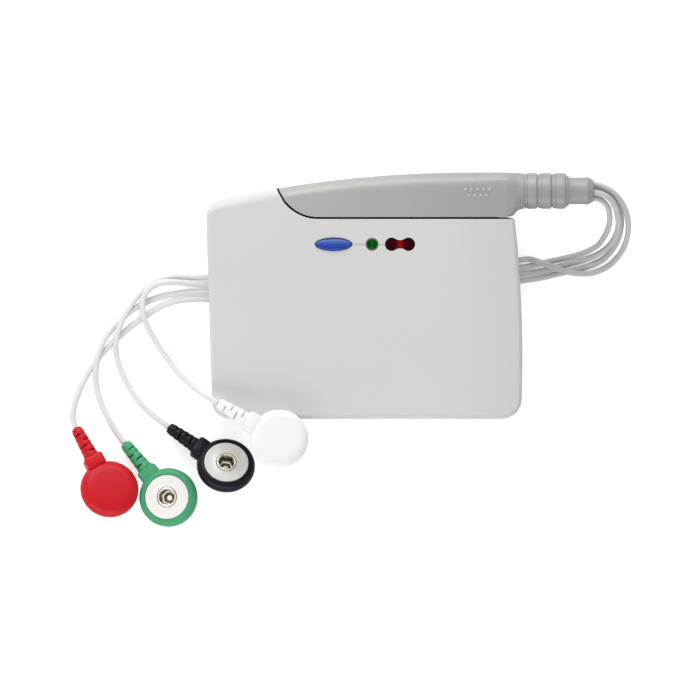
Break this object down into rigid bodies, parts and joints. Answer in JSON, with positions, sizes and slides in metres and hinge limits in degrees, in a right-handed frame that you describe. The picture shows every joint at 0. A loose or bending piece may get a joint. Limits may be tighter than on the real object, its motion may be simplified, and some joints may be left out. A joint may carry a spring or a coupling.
{
  "type": "holter monitor",
  "caption": "Pocket heart recorder with a docked side plug, patient leads ending in snap electrode heads, and an oval event button.",
  "frame": {"origin": "under the middle of the case and its plug, on the surface that the feet stand on", "axes": "+X along the case towards the patient cable, +Y across it towards the plug, +Z out of the front face"},
  "size_m": [0.1515, 0.0957, 0.0295],
  "materials": {
    "case_plastic": "pale grey moulded ABS, fine satin",
    "plug_plastic": "mid grey moulded plastic, satin",
    "seal_rubber": "black rubber strip",
    "foot_rubber": "dark rubber",
    "button_blue": "glossy blue",
    "lens_green": "clear dark green lens",
    "window_red": "clear dark red infrared window",
    "board": "green solder mask",
    "chip_black": "black moulded package",
    "steel": "bright steel",
    "eyelet": "nickel-plated stud socket",
    "gold": "gold-plated contact",
    "contact_plate": "satin silver plate",
    "cell_sleeve": "plain printed sleeve",
    "lead_jacket": "soft pale grey jacket",
    "snap_white": "soft white overmould",
    "snap_black": "soft black overmould",
    "snap_green": "soft green overmould",
    "snap_red": "soft red overmould"
  },
  "bodies": {
    "case": {"front_shell": "case_plastic", "rear_shell": "case_plastic", "battery_cell": "cell_sleeve", "battery_contact_negative": "steel", "battery_contact_positive": "steel", "main_board": "board", "processor_chip": "chip_black", "amplifier_chip": "chip_black", "memory_chip": "chip_black", "card_holder": "steel", "memory_card": "chip_black", "switch_body": "chip_black", "status_lens": "lens_green", "status_led": "lens_green", "infrared_window": "window_red", "infrared_emitter": "chip_black", "infrared_receiver": "chip_black", "patient_socket": "chip_black", "plug_seal": "seal_rubber", "case_screw_1": "steel", "case_screw_2": "steel", "case_screw_3": "steel", "case_screw_4": "steel", "foot_1": "foot_rubber", "foot_2": "foot_rubber", "foot_3": "foot_rubber", "foot_4": "foot_rubber", "lead_run_white": "lead_jacket", "lead_run_black": "lead_jacket", "lead_run_green": "lead_jacket", "lead_run_red": "lead_jacket", "snap_white": "snap_white", "snap_black": "snap_black", "snap_green": "snap_green", "snap_red": "snap_red", "plate_white": "contact_plate", "plate_black": "contact_plate", "plate_green": "contact_plate", "plate_red": "contact_plate", "socket_white": "eyelet", "socket_black": "eyelet", "socket_green": "eyelet", "socket_red": "eyelet"},
    "plug": {"plug_front_shell": "plug_plastic", "plug_rear_shell": "plug_plastic", "contact_tongue": "chip_black", "contact_strip_1": "gold", "contact_strip_2": "gold", "contact_strip_3": "gold", "contact_strip_4": "gold", "grip_sleeve": "plug_plastic", "cable_ferrule": "plug_plastic", "lead_loop_white": "lead_jacket", "lead_loop_black": "lead_jacket", "lead_loop_green": "lead_jacket", "lead_loop_red": "lead_jacket"},
    "button": {"event_button": "button_blue", "switch_plunger": "chip_black"},
    "door": {"battery_door": "case_plastic"}
  },
  "joints": [
    {"name": "plug_slide", "type": "slide", "parent": "case", "child": "plug", "axis": [1, 0, 0], "range_m": [0, 0.008]},
    {"name": "event_button_press", "type": "slide", "parent": "case", "child": "button", "axis": [0, 0, -1], "range_m": [0, 0.0006], "stiffness_N_per_m": 2000},
    {"name": "battery_door_slide", "type": "slide", "parent": "case", "child": "door", "axis": [0, -1, 0], "range_m": [0, 0.005]}
  ]
}
